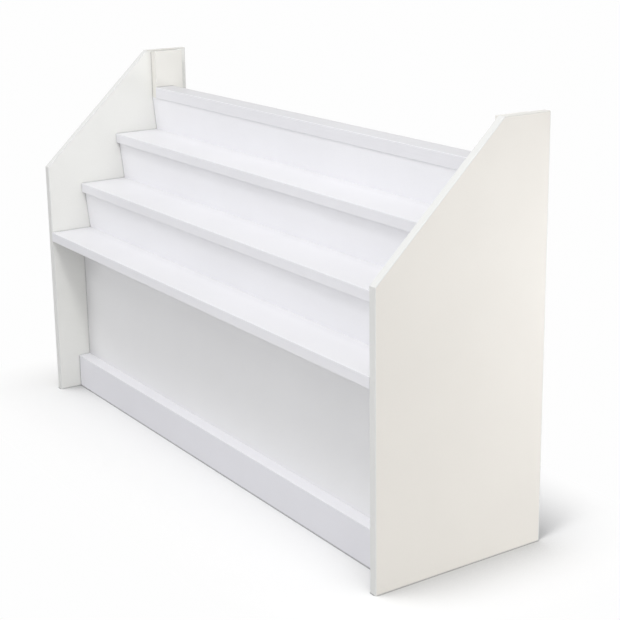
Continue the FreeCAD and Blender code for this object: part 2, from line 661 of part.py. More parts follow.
def make_dowel():
    """Return one dowel, lying along X, with the seam between its two boards at the origin."""
    radius = f"({size('dowel_width')} / 2)"
    tip = size("dowel_tip")
    tip_radius = f"({radius} - {tip})"
    start = f"-{size('dowel_in_side')}"
    corners = [
        (start, "0"),
        (DOWEL_END, "0"),
        (DOWEL_END, tip_radius),
        (f"({DOWEL_END} - {tip})", radius),
        (f"({start} + {tip})", radius),
        (start, tip_radius),
    ]
    return make_turned("one_dowel", corners)


def make_bolt():
    """Return one cam bolt: its thread before the origin, its shank, neck and head after it."""
    thread = f"({size('bolt_thread_width')} / 2)"
    shank = f"({size('bolt_shank_width')} / 2)"
    neck = f"({size('bolt_neck_width')} / 2)"
    head = size("bolt_head_length")
    end = f"({size('cam_reach')} + {head} / 2)"
    head_start = f"({end} - {head})"
    neck_start = f"({head_start} - {size('bolt_neck_length')})"
    corners = [
        (f"-{size('bolt_thread_length')}", "0"),
        (end, "0"),
        (end, shank),
        (head_start, shank),
        (head_start, neck),
        (neck_start, neck),
        (neck_start, shank),
        ("0", shank),
        ("0", thread),
        (f"-{size('bolt_thread_length')}", thread),
    ]
    return make_turned("one_cam_bolt", corners)


def make_screw():
    """Return one countersunk screw, its flat head at the origin and its point along X."""
    shank = f"({size('screw_width')} / 2)"
    head = f"({size('screw_head_width')} / 2)"
    length = size("screw_length")
    corners = [
        ("0", "0"),
        (length, "0"),
        (f"({length} - {size('screw_point')})", shank),
        (f"({head} - {shank})", shank),
        ("0", head),
    ]
    return make_turned("one_wood_screw", corners)


def make_drum(name, diameter, height, hanging):
    """Return a round body on the XY plane, that hangs below it or stands on it."""
    body = document.addObject("PartDesign::Body", name)
    sketch = new_sketch(body, "outline", "XY_Plane", "0")
    draw_circles(sketch, [("0", "0")], diameter)
    pad = body.newObject("PartDesign::Pad", f"{name}_pad")
    pad.Profile = sketch
    pad.setExpression("Length", height)
    pad.Reversed = hanging
    document.recompute()
    return body


def make_cap():
    """Return one cam cap, a thin disc with its flat back at the origin and a bevelled rim."""
    body = make_drum("one_cam_cap", size("cap_width"), size("cap_plate"), True)
    rim = edges_at(body, [Vector(0, 0, -number(size("cap_plate")))])
    base = (body.Tip, rim)
    bevel = body.newObject("PartDesign::Chamfer", "one_cam_cap_bevel")
    bevel.Base = base
    bevel.setExpression("Size", f"{size('cap_plate')} / 2")
    document.recompute()
    return body


def make_cam():
    """Return one cam housing: a drum on the XY plane, with a hollow that faces back along X.

    The hollow takes the head of the cam bolt and lies as high as the middle of the thinnest board.
    """
    body = make_drum("one_cam", size("cam_width"), CAM_HEIGHT, False)
    hollow_depth = f"({size('cam_width')} / 2 + {size('bolt_head_length')} / 2 + {size('bore_end_slack')})"
    face = f"-{size('cam_width')} / 2"
    add_bores(body, "hollow", "YZ_Plane", face, [("0", BOLT_IN_CAM)], size("cam_slot"), hollow_depth, True)
    slot_sketch = new_sketch(body, "slot", "XY_Plane", "0")
    half_long = f"({size('cam_driver_slot_length')} / 2)"
    half_wide = f"({size('cam_driver_slot')} / 2)"
    draw_outline(
        slot_sketch,
        [
            (f"-{half_long}", f"-{half_wide}"),
            (half_long, f"-{half_wide}"),
            (half_long, half_wide),
            (f"-{half_long}", half_wide),
        ],
    )
    slot = body.newObject("PartDesign::Pocket", "one_cam_driver_slot")
    slot.Profile = slot_sketch
    slot.setExpression("Length", size("cam_driver_slot"))
    slot.Reversed = True
    document.recompute()
    return body


def facing(x_direction, z_direction):
    """Return the turn that carries the X and Z axes to two directions at right angles."""
    return Rotation(x_direction, z_direction.cross(x_direction), z_direction, "ZXY")


def place_copies(label, places):
    """Gather copies of small masters in one group of separate solids.

    Each place is a master, three formulas in the stand's frame, and a turn.
    """
    links = []
    for index, (master, point, turn) in enumerate(places):
        link = document.addObject("App::Link", f"{label}_{index}")
        link.LinkedObject = master
        link.Placement = FreeCAD.Placement(Vector(0, 0, 0), turn)
        for axis, formula in zip("xyz", point):
            link.setExpression(f"Placement.Base.{axis}", formula)
        links.append(link)
    group = document.addObject("Part::Compound", f"{label}_group")
    group.Links = links
    group.Label = label
    document.recompute()


def end_places(master, half_span, places):
    """Return a copy at each place of both ends of a board, pointing inwards."""
    found = []
    for hand in (LEFT, RIGHT):
        turn = facing(X_AXIS * -hand, Z_AXIS)
        for depth, height in places:
            found.append((master, (f"{hand} * {half_span}", f"{FRONT} + {depth}", height), turn))
    return found


def cam_places(master, half_span, offset, bolts, inwards):
    """Return a copy over each bolt's head, set off from the bolt against the inward direction."""
    found = []
    for hand in (LEFT, RIGHT):
        line = f"{hand} * ({half_span} - {size('cam_reach')})"
        turn = facing(X_AXIS * -hand, inwards)
        for depth, height in bolts:
            y_place = f"{FRONT} + {depth} - {inwards.y} * {offset}"
            z_place = f"{height} - {inwards.z} * {offset}"
            found.append((master, (line, y_place, z_place), turn))
    return found


def all_cam_places(master, offsets):
    """Return a copy at every cam, set off by the offset that each kind of board needs."""
    found = []
    for tier in TIERS:
        found += cam_places(master, HALF_SPAN, offsets["shelf"], SHELF_BOLTS[tier], Z_AXIS)
    found += cam_places(master, HALF_LEDGE_SPAN, offsets["ledge"], LEDGE_BOLTS, Z_AXIS)
    found += cam_places(master, HALF_SPAN, offsets["panel"], PANEL_BOLTS, -Y_AXIS)
    found += cam_places(master, HALF_SPAN, offsets["stretcher"], STRETCHER_BOLTS, -Y_AXIS)
    return found


def screw_places(master):
    """Return where the screws go: into the risers' feet, the plinth and the centre support."""
    found = []
    for tier in TIERS:
        depth = f"{FRONT} + {riser_middle(tier, '0')}"
        up = Rotation(X_AXIS, Z_AXIS)
        found += [(master, (line, depth, underside(tier)), up) for line in SCREW_LINES]
    forward = Rotation(X_AXIS, -Y_AXIS)
    panel_rear = f"{FRONT} + {PANEL_REAR}"
    found += [(master, (line, panel_rear, PLINTH_SCREW_HEIGHT), forward) for line in SCREW_LINES]
    stretcher_rear = f"{FRONT} + {LEDGE_REAR} + {size('stretcher_board')}"
    found += [(master, ("0", stretcher_rear, height), forward) for height in SUPPORT_SCREW_HEIGHTS]
    return found


def make_fittings():
    """Make the dowels, the cam fittings with their caps, and the screws."""
    dowel = make_dowel()
    dowel_places = end_places(dowel, HALF_SPAN, SIDE_DOWELS)
    place_copies("dowels", dowel_places + end_places(dowel, HALF_LEDGE_SPAN, LEDGE_DOWELS))
    bolt = make_bolt()
    bolt_places = end_places(bolt, HALF_SPAN, SIDE_BOLTS)
    place_copies("cam_bolts", bolt_places + end_places(bolt, HALF_LEDGE_SPAN, LEDGE_BOLTS))
    boards = ("shelf", "ledge", "panel", "stretcher")
    at_bolt = {name: BOLT_IN_CAM for name in boards}
    at_face = {name: f"({size(name + '_board')} / 2)" for name in boards}
    place_copies("cam_housings", all_cam_places(make_cam(), at_bolt))
    place_copies("cam_caps", all_cam_places(make_cap(), at_face))
    place_copies("wood_screws", screw_places(make_screw()))


def check_document():
    """Stop if any object of the document failed."""
    document.recompute()
    for thing in document.Objects:
        failed = [state for state in thing.State if state in ("Invalid", "Error")]
        if failed:
            raise ValueError(f"{thing.Label}: {failed}")


def written_parts():
    """Return the boards and the groups of fittings, without the masters of the fittings."""
    bodies = document.findObjects("PartDesign::Body")
    boards = [body for body in bodies if not body.Name.startswith("one_")]
    return boards + document.findObjects("Part::Compound")


def export_parts():
    """Write each sub-part to a file that has its label's name."""
    parts = written_parts()
    for part in parts:
        if part.Shape.isNull() or not part.Shape.isValid():
            raise ValueError(f"{part.Label}: bad shape")
    os.makedirs(OUTPUT_FOLDER, exist_ok=True)
    for part in parts:
        part.Shape.exportStep(os.path.join(OUTPUT_FOLDER, f"{part.Label}.step"))
        print(part.Label, len(part.Shape.Solids), round(part.Shape.Volume / 1000, 1), "cm3")


write_sheet()
for side_name, side_hand in SIDES.items():
    make_side(side_name, side_hand)
    make_cheek(side_name, side_hand)
for tier_name in TIERS:
    make_shelf(tier_name)
    make_riser(tier_name)
make_ledge()
make_front_panel()
make_plinth()
make_support()
make_stretcher()
make_fittings()
check_document()
export_parts()
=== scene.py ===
"""Looks of a tiered display stand of white faced board, laid over its CAD model.

The boards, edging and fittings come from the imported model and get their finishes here. The
wood screws are built again with the cross recess in their heads, and the cam caps with the
shallow dish in their tops. Lengths are in metres, in the model's own frame: X along the stand,
Y from front to back and Z up from the floor.
"""

import logging
import math
from abc import ABC, abstractmethod
from dataclasses import dataclass
from enum import Enum
from typing import Any, Mapping, Optional, Union

import bmesh
import bpy
from mathutils import Matrix, Vector


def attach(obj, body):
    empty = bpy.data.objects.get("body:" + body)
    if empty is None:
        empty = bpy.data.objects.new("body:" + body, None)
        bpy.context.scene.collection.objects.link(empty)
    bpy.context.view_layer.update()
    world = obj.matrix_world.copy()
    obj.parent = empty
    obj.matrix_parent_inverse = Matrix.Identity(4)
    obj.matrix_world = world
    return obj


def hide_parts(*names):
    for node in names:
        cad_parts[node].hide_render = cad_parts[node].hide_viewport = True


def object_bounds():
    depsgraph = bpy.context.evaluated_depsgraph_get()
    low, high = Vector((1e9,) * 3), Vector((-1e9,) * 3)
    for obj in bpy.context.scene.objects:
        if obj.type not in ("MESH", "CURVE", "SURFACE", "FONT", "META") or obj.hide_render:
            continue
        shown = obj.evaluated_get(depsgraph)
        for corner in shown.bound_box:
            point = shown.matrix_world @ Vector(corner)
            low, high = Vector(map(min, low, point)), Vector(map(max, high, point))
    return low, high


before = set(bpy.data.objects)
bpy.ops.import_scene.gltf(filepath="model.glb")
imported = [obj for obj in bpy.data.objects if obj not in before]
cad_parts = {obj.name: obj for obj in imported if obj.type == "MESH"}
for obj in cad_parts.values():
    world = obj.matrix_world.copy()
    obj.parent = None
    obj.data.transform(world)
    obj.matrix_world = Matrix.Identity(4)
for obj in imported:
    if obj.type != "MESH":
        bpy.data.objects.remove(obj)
CAD_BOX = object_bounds()

BODY = "root"
MM = 0.001
SAME_POINT = 1e-6
CREASE_ANGLE = math.radians(30)

Triple = tuple[float, float, float]
Colour = Triple
Span = tuple[float, float]
Term = Union["Value", float]
ColourTerm = Union["Value", Colour]

OPENNESS_SAMPLES = 10
NOISE_ROUGHNESS = 0.55
SOFT_SPAN: Span = (0.30, 0.70)
FINE_SPAN: Span = (0.35, 0.65)
NO_LEAN: Triple = (0.0, 0.0, 0.0)
# The dark tone that painted shade mixes towards where parts close a surface in.
PAINTED_SHADE_TONE: Colour = (0.22, 0.22, 0.23)

log = logging.getLogger("stand")


class Side(Enum):
    """The two ends of the stand, as seen from its front."""

    LEFT = "left"
    RIGHT = "right"


class Tier(Enum):
    """The three steps, from the lowest to the highest."""

    LOWER = "lower"
    MIDDLE = "middle"
    UPPER = "upper"


class Value:
    """A shader socket that takes part in Python expressions."""

    def __init__(self, graph: "Graph", socket: bpy.types.NodeSocket) -> None:
        """Keep the socket and the graph that it belongs to."""
        self.graph = graph
        self.socket = socket

    def __add__(self, other: Term) -> "Value":
        """Return the sum."""
        return self.graph.math("ADD", self, other)

    def __radd__(self, other: float) -> "Value":
        """Return the sum, with the number first."""
        return self.graph.math("ADD", other, self)

    def __sub__(self, other: Term) -> "Value":
        """Return the difference."""
        return self.graph.math("SUBTRACT", self, other)

    def __rsub__(self, other: float) -> "Value":
        """Return the difference, with the number first."""
        return self.graph.math("SUBTRACT", other, self)

    def __mul__(self, other: Term) -> "Value":
        """Return the product."""
        return self.graph.math("MULTIPLY", self, other)

    def __rmul__(self, other: float) -> "Value":
        """Return the product, with the number first."""
        return self.graph.math("MULTIPLY", other, self)

    def larger(self, other: Term) -> "Value":
        """Return the larger of the two."""
        return self.graph.math("MAXIMUM", self, other)

    def sign(self) -> "Value":
        """Return -1, 0 or 1."""
        return self.graph.math("SIGN", self)

    def size(self) -> "Value":
        """Return the value without its sign."""
        return self.graph.math("ABSOLUTE", self)

    def root(self) -> "Value":
        """Return the square root."""
        return self.graph.math("SQRT", self)

    def between(self, low: float, high: float) -> "Value":
        """Return a smooth rise from 0 at one value to 1 at another.

        Args:
            low: Where the rise starts.
            high: Where it ends.

        Returns:
            The value from 0 to 1.
        """
        ramp = self.graph.node(
            "ShaderNodeMapRange",
            {"interpolation_type": "SMOOTHSTEP"},
            {"Value": self, "From Min": low, "From Max": high},
        )
        return ramp["Result"]


class Made:
    """A node that was made, whose outputs are read by name."""

    def __init__(self, graph: "Graph", node: bpy.types.Node) -> None:
        """Keep the node and its graph."""
        self.graph = graph
        self.node = node

    def __getitem__(self, name: str) -> Value:
        """Return one output."""
        return Value(self.graph, find_socket(self.node.outputs, name))


def find_socket(sockets: Any, name: str) -> bpy.types.NodeSocket:
    """Return the socket that has a name or an identifier.

    Args:
        sockets: A node's inputs or outputs.
        name: The socket's name, or its identifier where several share a name.

    Returns:
        The first socket in use that matches.
    """
    return next(s for s in sockets if s.enabled and name in (s.identifier, s.name))


class Graph:
    """The node tree of one material or of the world."""

    def __init__(self, tree: bpy.types.NodeTree) -> None:
        """Start with an empty tree."""
        self.tree = tree
        tree.nodes.clear()

    def node(
        self,
        kind: str,
        settings: Optional[Mapping[str, Any]] = None,
        inputs: Optional[Mapping[str, Any]] = None,
    ) -> Made:
        """Make a node.

        Args:
            kind: The node's type.
            settings: The node's own properties.
            inputs: Numbers, colours or values for its sockets.

        Returns:
            The node, whose outputs are read by name.
        """
        node = self.tree.nodes.new(kind)
        for name, setting in (settings or {}).items():
            setattr(node, name, setting)
        for name, given in (inputs or {}).items():
            socket = find_socket(node.inputs, name)
            if isinstance(given, Value):
                self.tree.links.new(given.socket, socket)
            elif isinstance(given, tuple) and socket.type == "RGBA":
                socket.default_value = (*given, 1.0)
            else:
                socket.default_value = given
        return Made(self, node)

    def math(self, operation: str, *terms: Term) -> Value:
        """Return the result of a Math node.

        Args:
            operation: The node's operation.
            terms: Its one or two operands.

        Returns:
            The node's output.
        """
        inputs = dict(zip(("Value", "Value_001"), terms))
        return self.node("ShaderNodeMath", {"operation": operation}, inputs)["Value"]

    def vector_math(self, operation: str, *terms: ColourTerm) -> Value:
        """Return the result of a Vector Math node.

        Args:
            operation: The node's operation.
            terms: Its one or two operands.

        Returns:
            The node's output.
        """
        inputs = dict(zip(("Vector", "Vector_001"), terms))
        return self.node("ShaderNodeVectorMath", {"operation": operation}, inputs)["Vector"]

    def position(self) -> Value:
        """Return the place in the stand's own frame, in metres."""
        return self.node("ShaderNodeTexCoord")["Object"]

    def stretched(self, vector: Value, scale: Triple, turn: float = 0.0) -> Value:
        """Return a vector turned about X and then scaled along each axis.

        Args:
            vector: The vector.
            scale: The factor along each axis.
            turn: The angle of the turn.

        Returns:
            The turned and scaled vector.
        """
        settings = {"vector_type": "POINT"}
        inputs = {"Vector": vector, "Rotation": (turn, 0.0, 0.0), "Scale": scale}
        return self.node("ShaderNodeMapping", settings, inputs)["Vector"]

    def noise(self, vector: Value, scale: float, detail: float = 2.0) -> Value:
        """Return soft noise from 0 to 1.

        Args:
            vector: The place to read it at.
            scale: How many blotches there are to a metre.
            detail: How many finer layers are added.

        Returns:
            The noise.
        """
        inputs: dict[str, Any] = {"Vector": vector, "Scale": scale}
        inputs.update({"Detail": detail, "Roughness": NOISE_ROUGHNESS})
        return self.node("ShaderNodeTexNoise", None, inputs)["Fac"]

    def mix(self, factor: Term, first: ColourTerm, second: ColourTerm) -> Value:
        """Return a colour between two colours.

        Args:
            factor: 0 for the first colour, 1 for the second.
            first: One colour.
            second: The other colour.

        Returns:
            The mixed colour.
        """
        inputs = {"Factor_Float": factor, "A_Color": first, "B_Color": second}
        return self.node("ShaderNodeMix", {"data_type": "RGBA"}, inputs)["Result_Color"]

    def bump(self, height: Value, depth: float, strength: float) -> Value:
        """Return the normal of a surface with small relief.

        Args:
            height: The relief, from 0 to 1.
            depth: How deep the relief is, in metres.
            strength: How much of it shows.

        Returns:
            The normal.
        """
        inputs = {"Height": height, "Distance": depth, "Strength": strength}
        return self.node("ShaderNodeBump", None, inputs)["Normal"]

    def openness(self, reach: float, lean: Triple = NO_LEAN) -> Value:
        """Return how open a place is, from 0 in a tight corner to 1.

        Args:
            reach: How far away a surface still closes it, in metres.
            lean: What is added to the surface's own direction before looking that way.

        Returns:
            The share of the directions that are open.
        """
        inputs: dict[str, Any] = {"Distance": reach}
        if lean != NO_LEAN:
            normal = self.node("ShaderNodeNewGeometry")["Normal"]
            leaning = self.vector_math("ADD", normal, lean)
            inputs["Normal"] = self.vector_math("NORMALIZE", leaning)
        return self.node("ShaderNodeAmbientOcclusion", {"samples": OPENNESS_SAMPLES}, inputs)["AO"]

    def surface(self, **inputs: Any) -> Value:
        """Return a Principled shader with the given sockets, an underscore for each space."""
        named = {name.replace("_", " "): given for name, given in inputs.items()}
        return self.node("ShaderNodeBsdfPrincipled", None, named)["BSDF"]


@dataclass(frozen=True)
class Finish(ABC):
    """What a surface is made of."""

    name: str

    @abstractmethod
    def shade(self, graph: Graph) -> Value:
        """Return the surface shader.

        Args:
            graph: The node tree to add to.

        Returns:
            The shader.
        """

    def material(self) -> bpy.types.Material:
        """Make a material of the finish.

        Returns:
            The material.
        """
        made = bpy.data.materials.new(self.name)
        made.use_nodes = True
        graph = Graph(made.node_tree)
        graph.node("ShaderNodeOutputMaterial", None, {"Surface": self.shade(graph)})
        return made


def scaled(colour: Colour, factor: float) -> Colour:
    """Return a colour made lighter or darker."""
    return tuple(part * factor for part in colour)


@dataclass(frozen=True)
class PaintedShade:
    """Painted shade: a surface's colour darkened where the parts round it close it in, standing in
    for the shade that falls there.

    Attributes:
        shade: How much of the darker tone shows in the tightest place.
        reach: How far away a part still closes the surface.
        lean: What is added to the surface's own direction before looking that way.
        span: The closed shares at which the darkening starts and is full.
        tone: The tone of the painted shade.
    """

    shade: float
    reach: float
    lean: Triple = NO_LEAN
    span: Span = (0.10, 0.50)
    tone: Colour = PAINTED_SHADE_TONE

    def over(self, graph: Graph, colour: ColourTerm) -> Value:
        """Return a colour with painted shade where the surface is closed in.

        Args:
            graph: The node tree to add to.
            colour: The colour out in the open.

        Returns:
            The darkened colour.
        """
        closed = 1.0 - graph.openness(self.reach, self.lean)
        return graph.mix(closed.between(*self.span) * self.shade, colour, self.tone)


@dataclass(frozen=True)
class FacedBoard(Finish):
    """Furniture board with a printed melamine facing and a fine pearl texture."""

    tone: Colour
    # Painted light: the same board takes this warmer, darker tone on the stand's outside faces, for
    # how light falls there.
    painted_light_outer_tone: Optional[Colour] = None
    painted_shades: tuple[PaintedShade, ...] = ()
    painted_light_span: Span = (0.4, 0.6)
    mottle: float = 0.012
    blotches_per_metre: float = 3.0
    blotch_detail: float = 3.0
    fleck_tone: Colour = (0.5, 0.49, 0.46)
    fleck_share: float = 0.02
    flecks_per_metre: float = 260.0
    pearls_per_metre: float = 700.0
    pearl_detail: float = 3.0
    pearl_depth: float = 0.12 * MM
    pearl_strength: float = 0.35
    pearl_roughness: float = 0.06
    handling_per_metre: float = 14.0
    handling_detail: float = 4.0
    handling_span: Span = (0.25, 0.75)
    handling_roughness: float = 0.08
    roughness: float = 0.33

    def facing(self, graph: Graph, place: Value) -> Value:
        """Return the facing's colour, with warmer painted light on the outside faces and painted
        shade in hollows.

        Args:
            graph: The node tree to add to.
            place: The place on the stand.

        Returns:
            The colour.
        """
        normal = graph.node("ShaderNodeNewGeometry")["Normal"]
        split = "ShaderNodeSeparateXYZ"
        facing_x = graph.node(split, None, {"Vector": normal})["X"]
        place_x = graph.node(split, None, {"Vector": place})["X"]
        # Painted light: share of the warmer, darker outer tone on faces that look outwards from the
        # stand.
        painted_light_share = (facing_x * place_x.sign()).between(*self.painted_light_span)
        blotch = graph.noise(place, self.blotches_per_metre, self.blotch_detail)
        fleck = graph.noise(place, self.flecks_per_metre).between(*FINE_SPAN)
        mottled = [
            graph.mix(
                blotch.between(*SOFT_SPAN),
                scaled(tone, 1.0 - self.mottle),
                scaled(tone, 1.0 + self.mottle),
            )
            for tone in (self.tone, self.painted_light_outer_tone or self.tone)
        ]
        both = graph.mix(painted_light_share, *mottled)
        colour = graph.mix(fleck * self.fleck_share, both, self.fleck_tone)
        # Painted shade where other parts close the facing in.
        for painted_shade in self.painted_shades:
            colour = painted_shade.over(graph, colour)
        return colour

    def shade(self, graph: Graph) -> Value:
        """Return the facing's shader.

        Args:
            graph: The node tree to add to.

        Returns:
            The shader.
        """
        place = graph.position()
        pearl = graph.noise(place, self.pearls_per_metre, self.pearl_detail)
        handling = graph.noise(place, self.handling_per_metre, self.handling_detail)
        worn = handling.between(*self.handling_span) * self.handling_roughness
        return graph.surface(
            Base_Color=self.facing(graph, place),
            Roughness=worn + (pearl * self.pearl_roughness + self.roughness),
            Normal=graph.bump(pearl, self.pearl_depth, self.pearl_strength),
        )


@dataclass(frozen=True)
class EdgingStrip(Finish):
    """Plastic edging, drawn smooth along its length, with faint lines that run with it."""

    tone: Colour
    along: Triple = (1.0, 0.0, 0.0)
    turn: float = 0.0
    lines_per_metre: float = 900.0
    line_depth: float = 0.05 * MM
    line_strength: float = 0.25
    line_shade: float = 0.985
    line_roughness: float = 0.10
    stretch: float = 0.02
    clouds_per_metre: float = 9.0
    cloud_shades: Span = (0.992, 1.006)
    roughness: float = 0.30

    def shade(self, graph: Graph) -> Value:
        """Return the strip's shader.

        Args:
            graph: The node tree to add to.

        Returns:
            The shader.
        """
        scale = tuple(self.stretch if part else 1.0 for part in self.along)
        place = graph.stretched(graph.position(), scale, self.turn)
        lines = graph.noise(place, self.lines_per_metre)
        cloud = graph.noise(graph.position(), self.clouds_per_metre).between(*SOFT_SPAN)
        dark, light = (scaled(self.tone, shade) for shade in self.cloud_shades)
        colour = graph.mix(cloud, dark, light)
        line_tone = scaled(self.tone, self.line_shade)
        return graph.surface(
            Base_Color=graph.mix(lines.between(*FINE_SPAN), line_tone, colour),
            Roughness=lines * self.line_roughness + self.roughness,
            Normal=graph.bump(lines, self.line_depth, self.line_strength),
        )


@dataclass(frozen=True)
class ZincPlate(Finish):
    """Steel with a bright zinc plating that has gone slightly dull."""

    tone: Colour = (0.62, 0.62, 0.60)
    dull_shade: float = 0.82
    clouds_per_metre: float = 260.0
    cloud_detail: float = 4.0
    cloud_roughness: float = 0.18
    spangles_per_metre: float = 1600.0
    spangle_depth: float = 0.03 * MM
    spangle_strength: float = 0.3
    spangle_roughness: float = 0.08
    roughness: float = 0.24

    def shade(self, graph: Graph) -> Value:
        """Return the plating's shader.

        Args:
            graph: The node tree to add to.

        Returns:
            The shader.
        """
        place = graph.position()
        cloud = graph.noise(place, self.clouds_per_metre, self.cloud_detail)
        spangle = graph.noise(place, self.spangles_per_metre)
        dull = scaled(self.tone, self.dull_shade)
        uneven = cloud * self.cloud_roughness + spangle * self.spangle_roughness
        return graph.surface(
            Base_Color=graph.mix(cloud.between(*SOFT_SPAN), dull, self.tone),
            Metallic=1.0,
            Roughness=uneven + self.roughness,
            Normal=graph.bump(spangle, self.spangle_depth, self.spangle_strength),
        )


@dataclass(frozen=True)
class MouldedCap(Finish):
    """Matt moulded plastic with a fine spark-eroded texture."""

    tone: Colour = (0.82, 0.82, 0.82)
    cloud_shade: float = 0.97
    clouds_per_metre: float = 60.0
    grains_per_metre: float = 2400.0
    grain_depth: float = 0.04 * MM
    grain_strength: float = 0.4
    grain_roughness: float = 0.12
    roughness: float = 0.46

    def shade(self, graph: Graph) -> Value:
        """Return the plastic's shader.

        Args:
            graph: The node tree to add to.

        Returns:
            The shader.
        """
        place = graph.position()
        grain = graph.noise(place, self.grains_per_metre)
        cloud = graph.noise(place, self.clouds_per_metre).between(*SOFT_SPAN)
        return graph.surface(
            Base_Color=graph.mix(cloud, scaled(self.tone, self.cloud_shade), self.tone),
            Roughness=grain * self.grain_roughness + self.roughness,
            Normal=graph.bump(grain, self.grain_depth, self.grain_strength),
        )


@dataclass(frozen=True)
class BeechDowel(Finish):
    """Bare beech, with grain and short dark flecks along the dowel."""

    pale: Colour = (0.66, 0.49, 0.32)
    dark: Colour = (0.44, 0.29, 0.16)
    grain_stretch: float = 0.08
    grains_per_metre: float = 900.0
    grain_detail: float = 4.0
    grain_span: Span = (0.35, 0.70)
    grain_depth: float = 0.1 * MM
    grain_strength: float = 0.5
    grain_roughness: float = 0.15
    fleck_stretch: float = 0.25
    fleck_share: float = 0.5
    flecks_per_metre: float = 2200.0
    fleck_detail: float = 1.0
    fleck_span: Span = (0.62, 0.72)
    roughness: float = 0.55

    def shade(self, graph: Graph) -> Value:
        """Return the wood's shader.

        Args:
            graph: The node tree to add to.

        Returns:
            The shader.
        """
        place = graph.position()
        grain_place = graph.stretched(place, (self.grain_stretch, 1.0, 1.0))
        fleck_place = graph.stretched(place, (self.fleck_stretch, 1.0, 1.0))
        grain = graph.noise(grain_place, self.grains_per_metre, self.grain_detail)
        fleck = graph.noise(fleck_place, self.flecks_per_metre, self.fleck_detail)
        flecked = fleck.between(*self.fleck_span) * self.fleck_share
        colour = graph.mix(grain.between(*self.grain_span), self.dark, self.pale)
        return graph.surface(
            Base_Color=graph.mix(flecked, colour, self.dark),
            Roughness=grain * self.grain_roughness + self.roughness,
            Normal=graph.bump(grain, self.grain_depth, self.grain_strength),
        )


# Painted shade: thin dark lines where the boards meet each other and, at the plinth, the floor.
JOINT_PAINTED_SHADE = PaintedShade(shade=0.4, reach=5 * MM)
PLINTH_PAINTED_SHADE = PaintedShade(shade=0.6, reach=5 * MM)
# Painted shade on each tread near the foot of the riser and the side panels.
SHELF_CORNER_PAINTED_SHADE = PaintedShade(shade=0.10, reach=40 * MM)
# Painted shade on each riser just under the shelf nose above it.
NOSE_SHADE = PaintedShade(shade=0.38, reach=14 * MM, lean=(0.0, 0.0, 0.75), span=(0.42, 0.85))
# Painted shadow on the side panels under the boards above them, and in the front panel's corners,
# strongest at the left.
RECESS_SIDE_PAINTED_SHADOW = PaintedShade(shade=0.25, reach=200 * MM, lean=(0.0, -0.6, 0.8), span=(0.30, 0.90))
RECESS_CORNER_PAINTED_SHADOW = PaintedShade(shade=0.30, reach=120 * MM, lean=(-0.7, -0.3, 0.6), span=(0.30, 0.90))

# Painted shadow on the floor as the camera sees it: soft shade round the stand's foot, a wider shade
# on the side away from the lamps and a thin dark line where the stand meets the floor.
FLOOR_SHADE_TONE = (0.32, 0.32, 0.32)
FLOOR_CONTACT_SHADE_TONE = (0.12, 0.12, 0.12)
FOOT_SHADE = PaintedShade(1.0, 221 * MM, (-0.05, -0.31, -0.36), (0.0, 0.915), FLOOR_SHADE_TONE)
LEE_SHADE = PaintedShade(0.2, 300 * MM, (-0.40, -0.90, -0.40), (0.05, 0.60), FLOOR_SHADE_TONE)
FLOOR_CONTACT_PAINTED_SHADE = PaintedShade(1.0, 7 * MM, NO_LEAN, (0.15, 0.50), FLOOR_CONTACT_SHADE_TONE)

# The second tone is painted light on the outside faces of the side panels.
CREAM_FACING = FacedBoard(
    "cream_facing", (0.846, 0.846, 0.818), (0.778, 0.750, 0.702), (RECESS_SIDE_PAINTED_SHADOW, JOINT_PAINTED_SHADE)
)
CHEEK_FACING = FacedBoard("cheek_facing", (0.820, 0.808, 0.768), painted_shades=(JOINT_PAINTED_SHADE,))
SHELF_FACING = FacedBoard("shelf_facing", (0.794, 0.792, 0.814), painted_shades=(SHELF_CORNER_PAINTED_SHADE,))
LEDGE_FACING = FacedBoard("ledge_facing", (0.656, 0.654, 0.676))
RISER_FACING = FacedBoard("riser_facing", (0.888, 0.887, 0.916), painted_shades=(NOSE_SHADE,))
PANEL_FACING = FacedBoard("panel_facing", (0.845, 0.845, 0.857), painted_shades=(RECESS_CORNER_PAINTED_SHADOW,))
PLINTH_FACING = FacedBoard("plinth_facing", (0.782, 0.780, 0.822), painted_shades=(PLINTH_PAINTED_SHADE,))
SIDE_EDGING_TONE = (0.736, 0.739, 0.727)
TOP_EDGING_TONE = (0.690, 0.680, 0.645)
SHELF_EDGING = EdgingStrip("shelf_edging", (0.806, 0.804, 0.835))


def dress(node: str, material: bpy.types.Material) -> None:
    """Give a node of the CAD model its material.

    Args:
        node: The node's name.
        material: The material for its slots.
    """
    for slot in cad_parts[node].material_slots:
        slot.material = material
    log.info("%s: %s", node, material.name)


@dataclass(frozen=True)
class Solid:
    """The box of one solid of a CAD node."""

    low: Vector
    high: Vector

    def length(self, axis: int) -> float:
        """Return how long the solid is along an axis."""
        return self.high[axis] - self.low[axis]

    def seat(self, axis: int, outer: bool) -> Matrix:
        """Return the placement of a fitting at one end of the solid.

        Args:
            axis: The axis that the fitting lies along, 1 for Y or 2 for Z.
            outer: Whether it starts at the end that shows, or at the end on the board.

        Returns:
            A frame whose Z axis goes into the board, which is up from below or forward
            from behind.
        """
        into = Vector((0, 0, 1)) if axis == 2 else Vector((0, -1, 0))
        half = into * (self.length(axis) / 2)
        middle = (self.low + self.high) / 2
        start = middle - half if outer else middle + half
        turn = Vector((0, 0, 1)).rotation_difference(into).to_matrix().to_4x4()
        return Matrix.Translation(start) @ turn


